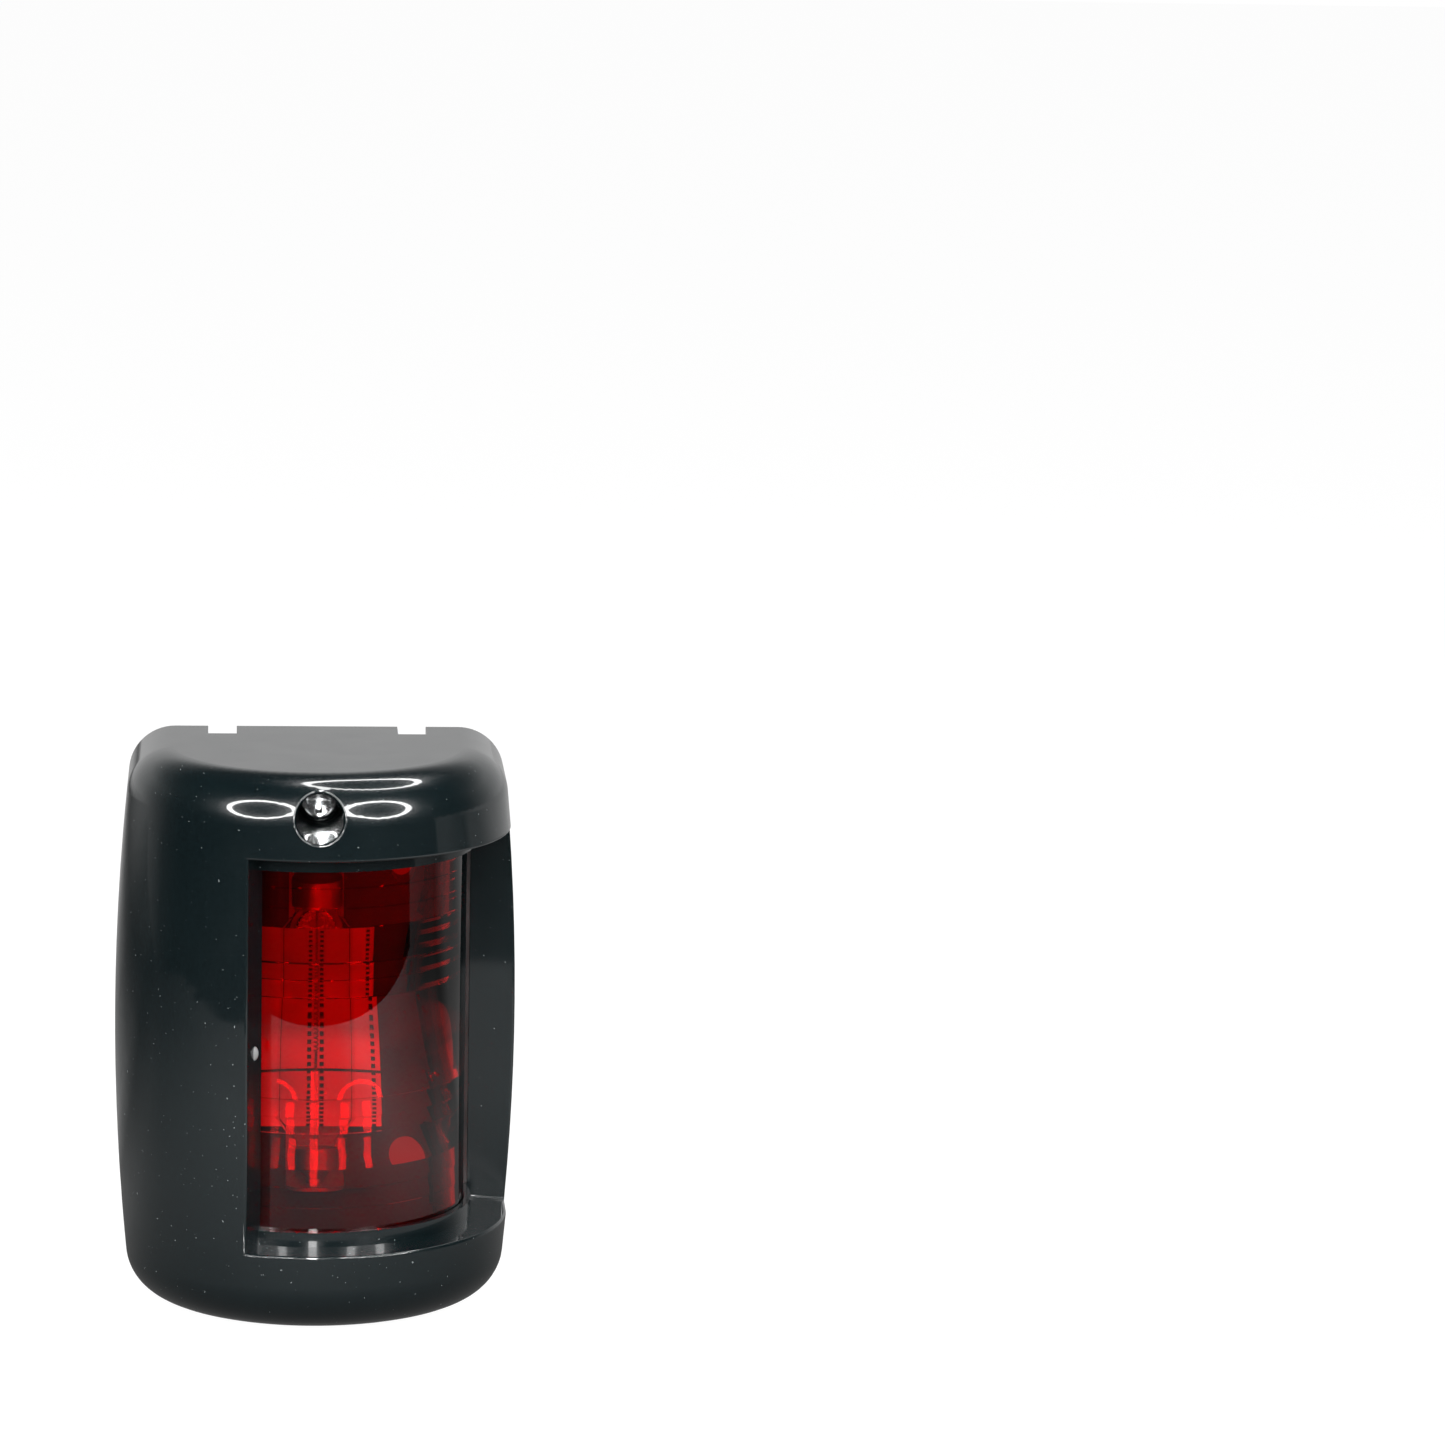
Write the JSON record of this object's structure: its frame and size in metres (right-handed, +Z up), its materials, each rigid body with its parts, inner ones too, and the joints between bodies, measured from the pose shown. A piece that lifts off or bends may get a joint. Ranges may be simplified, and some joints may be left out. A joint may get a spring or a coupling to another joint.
{
  "type": "navigation light",
  "caption": "Compact black side navigation light with a round-fronted cover over a red Fresnel lens, a screw-on base plate and a festoon bulb.",
  "frame": {"origin": "centre of the rear face of the base plate, where it lies on the boat", "axes": "+Y out of the rear face into the boat, +Z up, +X towards the open side of the window"},
  "size_m": [0.056, 0.0428, 0.0772],
  "materials": {
    "base_plastic": "fine matt black moulding",
    "seal_rubber": "satin black rubber",
    "insert_brass": "bright knurled brass",
    "rivet_brass": "bright turned brass",
    "reflector_plastic": "smooth pale moulding",
    "bulb_glass": "clear thin glass",
    "bulb_cap_metal": "nickel-plated caps",
    "filament_metal": "drawn tungsten",
    "contact_metal": "nickel-plated spring strip",
    "clamp_metal": "plated square washer",
    "terminal_metal": "plated slotted screw",
    "cover_plastic": "polished black moulding",
    "lens_red": "deep clear red moulding",
    "screw_steel": "polished stainless"
  },
  "bodies": {
    "base": {"base_plate": "base_plastic", "base_seal": "seal_rubber", "threaded_insert": "insert_brass", "reflector": "reflector_plastic", "upper_rivet": "rivet_brass", "upper_contact": "contact_metal", "upper_wire_clamp": "clamp_metal", "upper_terminal_screw": "terminal_metal", "lower_rivet": "rivet_brass", "lower_contact": "contact_metal", "lower_wire_clamp": "clamp_metal", "lower_terminal_screw": "terminal_metal"},
    "bulb": {"bulb_glass": "bulb_glass", "filament": "filament_metal", "upper_bulb_cap": "bulb_cap_metal", "upper_filament_support": "filament_metal", "lower_bulb_cap": "bulb_cap_metal", "lower_filament_support": "filament_metal"},
    "cover": {"cover": "cover_plastic", "lens": "lens_red", "lens_side_seal": "seal_rubber", "upper_lens_gasket": "seal_rubber", "lower_lens_gasket": "seal_rubber"},
    "screw_carrier": {"screw_seal": "seal_rubber"},
    "screw": {"retaining_screw": "screw_steel"}
  },
  "joints": [
    {"name": "cover_pull", "type": "slide", "parent": "base", "child": "cover", "axis": [0, -1, 0], "range_m": [0, 0.045]},
    {"name": "screw_travel", "type": "slide", "parent": "cover", "child": "screw_carrier", "axis": [0, -1, 0], "range_m": [0, 0.0077]},
    {"name": "screw_turn", "type": "hinge", "parent": "screw_carrier", "child": "screw", "pos_m": [0, -0.0255, 0.0332], "axis": [0, -1, 0], "range_deg": [0, 3960]},
    {"name": "bulb_spin", "type": "hinge", "parent": "base", "child": "bulb", "pos_m": [0, -0.0157, 0], "axis": [0, 0, 1], "continuous": true}
  ],
  "couplings": [
    {"joint": "screw_turn", "follows": "screw_travel", "rad_per_m": 8976}
  ]
}
